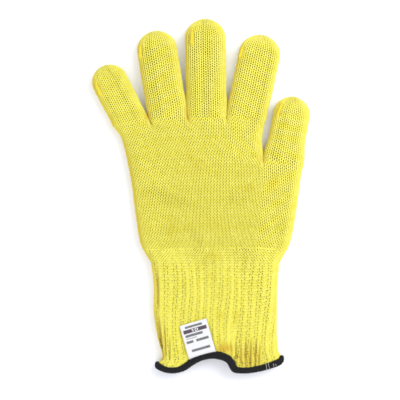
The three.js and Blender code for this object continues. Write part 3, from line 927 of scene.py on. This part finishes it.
# Courses of the low grid, whose first row is spare, and the last course of each grid
WRIST = CUFF_COURSES + 1
CUFF_SPLIT = 17
WRIST_START = WRIST - 5
HEEL_START = WRIST + 6
PALM_START = HEEL_START + 16
LOW_TOP = len(LOW_GRID) - 2
HIGH_TOP = len(HIGH_GRID) - 2
lower_cuff = low_piece("cuff_knit_lower", 1, CUFF_SPLIT, cuff_relief, RIB_KNIT)
upper_cuff = low_piece("cuff_knit_upper", CUFF_SPLIT, WRIST_START, cuff_relief, RIB_KNIT)
wrist_knit = low_piece("wrist_knit", WRIST_START, HEEL_START, wrist_relief, RIB_KNIT)
heel = low_piece("heel_knit", HEEL_START, PALM_START, palm_relief)
palm = low_piece("palm_knit", PALM_START, LOW_TOP + 1, palm_relief)
knuckles = knit_piece("knuckle_knit", HIGH_GRID, np.arange(2, HIGH_TOP), palm_relief, (1, HIGH_TOP))
place(lower_cuff, "cuff", "cuff_shell")
place(upper_cuff, "cuff", None)
blend_zone(wrist_knit, "wrist_fold", (0, -1), -9, 9)
place(heel, "palm", "palm_shell")
place(palm, "palm", None)
place(knuckles, "palm", None)


def add_finger(finger, folds, parts):
    """A finger in one piece for each joint, cut between its folds. folds are the places of the folds past
    the first, as shares of its length, and parts has each piece's name, joint and zone of bending."""
    name = finger["name"]
    grid, shape = tubes[name]
    tip_course = len(grid) - 2
    per_mm = round(shape["body"] / FINGER_COURSE) / shape["body"]
    places = [0] + [fold * shape["length"] for fold in folds]
    zones = [zone for _, _, zone in parts]
    cuts = [1]
    for i in range(1, len(places)):
        end_of_last = places[i - 1] + zones[i - 1][1]
        start_of_next = places[i] + zones[i][0]
        cuts.append(round(1 + per_mm * max(start_of_next - 1.0, (end_of_last + start_of_next) / 2)))
    cuts.append(tip_course + 1)
    for i, (part, joint, zone) in enumerate(parts):
        first, end = cuts[i:i + 2]
        edges = (max(first - 0.5, 1), min(end - 0.5, tip_course - 0.02))
        relief = finger_relief(finger, part == "tip")
        piece = knit_piece(f"{name}_{part}_knit", grid, np.arange(first, end), relief, edges, FINGER_KNIT)
        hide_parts(f"{name}_{part}")
        across = JOINTS[joint]["axis"] if i else shape["across"]
        blend_zone(piece, joint, (-across[1], across[0]), *zone)


for finger in FINGERS:
    name = finger["name"]
    at_root, at_middle, at_tip = finger["bends"]
    add_finger(finger, (0.38, 0.68), [
        ("proximal", f"{name}_knuckle", (-0.3, at_root)),
        ("middle", f"{name}_middle_fold", (-at_middle, at_middle)),
        ("tip", f"{name}_tip_fold", (-at_tip, at_tip)),
    ])
at_root, at_tip = THUMB["bends"]
add_finger(THUMB, (0.5,), [
    ("base", "thumb_root_fold", (-0.3, at_root)),
    ("tip", "thumb_tip_fold", (-at_tip, at_tip)),
])

# ---------------- hem, label, threads


def thread_piece(name, paths, normals, radius, sides, material):
    """Open threads of one piece: paths of shape (threads, points, 3)."""
    paths = np.asarray(paths, float)
    parts = tube_parts(paths, np.asarray(normals, float), radius, sides, False)
    verts, quads, uvs = capped(*parts, *paths.shape[:2], sides)
    return new_object(name, verts, quads, uvs, material, {"tone": np.full(len(verts), 0.5)})


MEAN_HEM_Y = -142
HEM_SHARE = 1.0165  # of the cuff's length, at the middle of the hem
HEM_POWER = 0.72  # exponent of the section's rounding: 1 is an ellipse
WRAP_PITCH = 1.02
WRAP_RADIUS = 0.42
WRAP_POINTS = 26
WRAP_SIDES = 6
STEPS_PER_WRAP = 3
HEM_RING = ring_of(cuff_course(HEM_SHARE), [(1, [0, 5])], low=HEM_HALF_THICKNESS + WRAP_RADIUS + 0.05,
                   high=HIGH - 0.15)
HEM_WALES = np.linspace(0, len(HEM_RING), 20 * len(HEM_RING), endpoint=False)
HEM_RUN = run_of(on_ring(HEM_RING, np.append(HEM_WALES, 0)))


def hem_frame(count):
    """Centre, along, down and outward directions at evenly spaced places round the hem."""
    wale = np.interp(np.arange(count) / count * HEM_RUN[-1], HEM_RUN[:-1], HEM_WALES)
    step = 0.4
    tangent = unit(on_ring(HEM_RING, wale + step) - on_ring(HEM_RING, wale - step))
    hand_to_hem = np.array([0.0, -1.0, 0.0])
    down = unit(hand_to_hem - tangent * (tangent @ hand_to_hem)[:, None])
    return on_ring(HEM_RING, wale), tangent, down, np.cross(down, tangent)


def hem_section(theta, middle, out, grow=0.0):
    """How far down and outward each point of the band's rounded section lies."""
    c, s = np.cos(theta), np.sin(theta)
    front = np.interp(middle[..., 0], *np.array(HEM_HALF_WIDTHS).T)
    half = np.where(out[..., 2] > 0, front, HEM_BACK_HALF_WIDTH)
    return ((half + grow) * np.sign(c) * np.abs(c) ** HEM_POWER,
            (HEM_HALF_THICKNESS + grow) * np.sign(s) * np.abs(s) ** HEM_POWER)


def add_hem():
    """The binding: a padded band round the knit's edge, covered in close wraps of overlock thread."""
    wraps = round(HEM_RUN[-1] / WRAP_PITCH)
    middle, _, down, out = hem_frame(wraps * STEPS_PER_WRAP)
    theta = 2 * math.pi * np.arange(WRAP_POINTS) / WRAP_POINTS
    a, b = hem_section(theta[None], middle[:, None], out[:, None], -0.1)
    core = middle[:, None] + a[..., None] * down[:, None] + b[..., None] * out[:, None]
    core_quads, core_uvs = grid_faces(*core.shape[:2])
    core = core.reshape(-1, 3)

    slant = 0.55 * np.cos(theta) + rng.normal(0, 0.09, (wraps, 1))
    slant = slant + 0.12 * rng.normal(0, 1, (wraps, 1)) * np.sin(theta)
    at = (np.arange(wraps)[:, None] + slant) * STEPS_PER_WRAP
    low = np.floor(at).astype(int)
    f = (at - low)[..., None]

    def between_steps(values):
        return values[low % len(values)] * (1 - f) + values[(low + 1) % len(values)] * f

    at_middle, at_down, at_out = between_steps(middle), unit(between_steps(down)), unit(between_steps(out))
    grow = 0.05 + rng.normal(0, 0.05, (wraps, 1))
    c, s = hem_section(theta + 0 * grow, at_middle, at_out)
    normals = c[..., None] * at_down + s[..., None] * at_out
    c_out, s_out = c + grow * np.cos(theta), s + grow * np.sin(theta)
    paths = at_middle + c_out[..., None] * at_down + s_out[..., None] * at_out
    verts, quads, uvs = tube_parts(paths, normals, WRAP_RADIUS, WRAP_SIDES, True)
    wrap_tone = np.clip(0.5 + 0.2 * rng.normal(0, 1, wraps), 0, 1)
    tone = np.concatenate([np.full(len(core), 0.3), np.repeat(wrap_tone, WRAP_POINTS * WRAP_SIDES)])
    uvs = np.vstack([uv_band(core_uvs, 0, 0.2), uv_band(uvs, 0.2, 1)])
    piece = new_object("hem_band", np.vstack([core, verts]), np.vstack([core_quads, quads + len(core)]), uvs,
                       hem_thread, {"tone": tone})
    place(piece, "cuff", "hem_binding")


def label_height(x, y):
    """Height of the label's underside, which waves, lifts at one corner and dips under the hem."""
    waves = 0.16 * np.sin(x * 0.42 + 1.1) * np.sin(y * 0.21 + 0.4) + 0.10 * np.sin(x * 0.9 - y * 0.3)
    height = LABEL_Z + waves * smoothstep((y + 1) / 6)
    height = height - 1.5 * (1 - smoothstep((y + LABEL_TUCK) / 3.4))
    return height + 0.35 * smoothstep((y - 17) / 10) * smoothstep((-x - 2) / 9)


def add_label():
    """A woven label with folded edges, laid on the cuff; its lower edge goes under the hem."""
    cosine, sine = math.cos(LABEL["turn"]), math.sin(LABEL["turn"])
    across, up = np.array([cosine, sine]), np.array([-sine, cosine])
    length = LABEL["length"] + LABEL_TUCK
    columns, rows = 48, 62
    u, v = np.meshgrid(np.linspace(-0.5, 0.5, columns), np.linspace(0, 1, rows))
    x = u * LABEL["width"]
    y = v * length - LABEL_TUCK
    plan = np.array(LABEL["base"]) + x[..., None] * across + y[..., None] * up
    height = label_height(x, y)
    thinned = 0.12 * np.maximum(smoothstep((np.abs(u) - 0.47) / 0.03), smoothstep((v - 0.975) / 0.025))
    top = np.concatenate([plan, (height + LABEL_THICKNESS - thinned)[..., None]], -1)
    bottom = np.concatenate([plan, (height + thinned)[..., None]], -1)

    side = rows * columns  # points on each face
    index = np.arange(side).reshape(rows, columns)
    front = np.stack([index[:-1, :-1], index[:-1, 1:], index[1:, 1:], index[1:, :-1]], -1).reshape(-1, 4)
    back = front[:, ::-1] + side
    rim = np.concatenate([index[0, :], index[1:, -1], index[-1, -2::-1], index[-2:0:-1, 0]])
    after = np.roll(rim, -1)
    edge = np.stack([rim, rim + side, after + side, after], -1)

    def shares(faces):
        return np.stack([(u + 0.5).ravel()[faces % side] * 0.49, v.ravel()[faces % side]], -1)

    layers = {
        "label_x": np.tile((u + 0.5).ravel(), 2),
        "label_y": np.tile((y / LABEL["length"]).ravel(), 2),
        "printed": np.repeat([1, 0], side),
    }
    uvs = np.vstack([shares(front), shares(back) + [0.5, 0], shares(edge) * 0.005 + 0.993])
    piece = new_object("label_cloth", np.vstack([top.reshape(-1, 3), bottom.reshape(-1, 3)]),
                       np.vstack([front, back, edge]), uvs, label_cloth, layers)
    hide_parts("size_label")
    blend_zone(piece, "label_flap", up, -1.2, 3.0)


def front_points(grid, plan):
    """Points and normals on the front of a tube, above or below each plan point."""
    courses = np.linspace(1, len(grid) - 2.05, 8 * len(grid))
    course, wale = np.meshgrid(courses, np.linspace(0, WALES_PER_LANE, 160), indexing="ij")
    point, normal = (part.reshape(-1, 3) for part in surface(grid, course, wale))
    nearest = [int(np.argmin(((point[:, :2] - p) ** 2).sum(1))) for p in plan]
    return point[nearest], normal[nearest]


def add_closing_yarn(finger):
    """The two-ply end of a tip's yarn, drawn back along the tip in a short ridge."""
    name = finger["name"]
    (x0, y0), (x1, y1) = finger["ridge"]
    t = np.linspace(0, 1, 44)
    plan = np.column_stack([x0 + t * (x1 - x0) + 0.35 * np.sin(t * 5.0), y0 + t * (y1 - y0)])
    kernel = np.hanning(9) / np.hanning(9).sum()
    on, up = (np.apply_along_axis(np.convolve, 0, np.pad(part, [(4, 4), (0, 0)], "edge"), kernel, "valid")
              for part in front_points(tubes[name][0], plan))
    up = unit(up)
    swell = smoothstep(t * 4) * smoothstep((1 - t) * 4)
    middle = on + (0.75 * swell + 0.05)[:, None] * up
    side = np.cross(unit(np.gradient(middle, axis=0)), up)
    plies = []
    for k in range(2):
        angle = 2 * math.pi * (t * 4.2) + math.pi * k
        plies.append(middle + 0.62 * (np.cos(angle)[:, None] * side + np.sin(angle)[:, None] * up))
    radius = 0.80 * (0.4 + 0.6 * swell)
    piece = thread_piece(f"{name}_closing_ridge", plies, np.stack([up, up]), radius, 8, bright_yarn)
    place(piece, f"{name}_tip", f"{name}_closing_yarn")


def box_mm(node):
    low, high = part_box(node)
    return np.array(low) / MM, np.array(high) / MM


def add_tack(node):
    """A whipped stitch that holds front to back below a gap: yarn wound round its own straight ends."""
    low, high = box_mm(node)
    middle = (low + high) / 2
    radius = (high[0] - low[0]) / 2
    turns = (high[2] - low[2] - 0.8) / 0.85
    t = np.linspace(0, 1, int(turns * 14))
    angle = 2 * math.pi * turns * t
    yarn = 0.36
    reach = (radius - yarn) * (1 - 0.25 * np.abs(2 * t - 1) ** 6)
    z = low[2] + yarn + t * (high[2] - low[2] - 2 * yarn)
    coil = np.column_stack([middle[0] + reach * np.cos(angle), middle[1] + reach * np.sin(angle), z])
    outward = np.column_stack([np.cos(angle), np.sin(angle), 0 * angle])
    piece = thread_piece(f"{node}_stitch", [coil], [outward], yarn, 6, tack_yarn)
    place(piece, "palm", node)


# Of each pale thread: its x, its slant, its lift off the band, and the part of the band's front it crosses
JOIN_THREADS = [
    (55.2, 0.9, 0.0, (0.1, 0.95)), (57.3, 0.5, 0.12, (0.05, 0.9)), (60.9, 0.3, 0.0, (0.4, 0.56)),
    (62.6, -0.5, 0.0, (0.38, 0.5)), (66.9, 0.6, 0.0, (0.3, 0.42)), (-26.5, 0.3, 0.0, (0.86, 1.0)),
    (-23.5, 0.3, 0.0, (0.88, 1.0)),
]


def add_join_stitches():
    """Pale threads that tie off the hem where its stitching starts and ends."""
    frames = hem_frame(1200)
    paths, normals = [], []
    for x, slant, lift, crossed in JOIN_THREADS:
        nearest = np.argmin(np.where(frames[3][:, 2] > 0.6, np.abs(frames[0][:, 0] - x), np.inf))
        middle, tangent, down, out = (values[nearest] for values in frames)
        a, b = hem_section(math.pi * np.linspace(*crossed, 15), middle, out, WRAP_RADIUS + 0.1 + lift)
        shift = slant * np.linspace(-1, 1, 15) + 0.15 * np.sin(np.linspace(0, 7, 15) + x)
        paths.append(middle + a[:, None] * down + b[:, None] * out + shift[:, None] * tangent)
        normals.append(a[:, None] * down + b[:, None] * out)
    piece = thread_piece("hem_join_threads", paths, normals, 0.13, 6, pale_thread)
    place(piece, "cuff", "hem_join_stitches")


def add_yarn_loop():
    """A loop of yarn that has pulled out of the knit beside the hem."""
    low, high = box_mm("hem_yarn_loop")
    middle = (low + high) / 2
    t = np.linspace(-0.86, 0.86, 40) * math.pi
    x = middle[0] + 1.15 * np.sin(t) * (1 + 0.12 * np.cos(t)) + 0.25 * np.cos(t)
    y = middle[1] + 0.2 + 1.5 * np.cos(t)
    z = 16.6 + 0.9 * np.cos(t / 2) ** 0.7 + 0.25 * np.sin(2 * t)
    z = z - 1.1 * smoothstep((np.abs(t) / math.pi - 0.6) / 0.26)
    upward = np.tile([0, 0, 1.0], (len(t), 1))
    piece = thread_piece("hem_loose_loop", [np.column_stack([x, y, z])], [upward], 0.38, 8, loop_yarn)
    place(piece, "cuff", "hem_yarn_loop")


def add_elastic():
    """The covered elastic that lies inside the ribbing, in one spiral."""
    low, high = box_mm("cuff_elastic_yarn")
    turns = 6
    t = np.linspace(0, 1, 130 * turns)
    share = (WRIST_Y - (high[1] + t * (low[1] - high[1]))) / (WRIST_Y - MEAN_HEM_Y)
    wale = t * turns * LOW_WALES + 3
    point, normal = surface(LOW_GRID, WRIST - share * CUFF_COURSES, wale % LOW_WALES)
    path = point - (2.2 + 0.12 * np.sin(wale * 1.7))[:, None] * normal
    piece = thread_piece("cuff_elastic_thread", [path], [normal], 0.4, 6, pale_thread)
    place(piece, "cuff", "cuff_elastic_yarn")


add_hem()
add_label()
for finger in [*FINGERS, THUMB]:
    add_closing_yarn(finger)
for gap in ("little_ring", "ring_middle", "middle_index", "index_thumb"):
    add_tack(f"{gap}_tack")
add_join_stitches()
add_yarn_loop()
add_elastic()
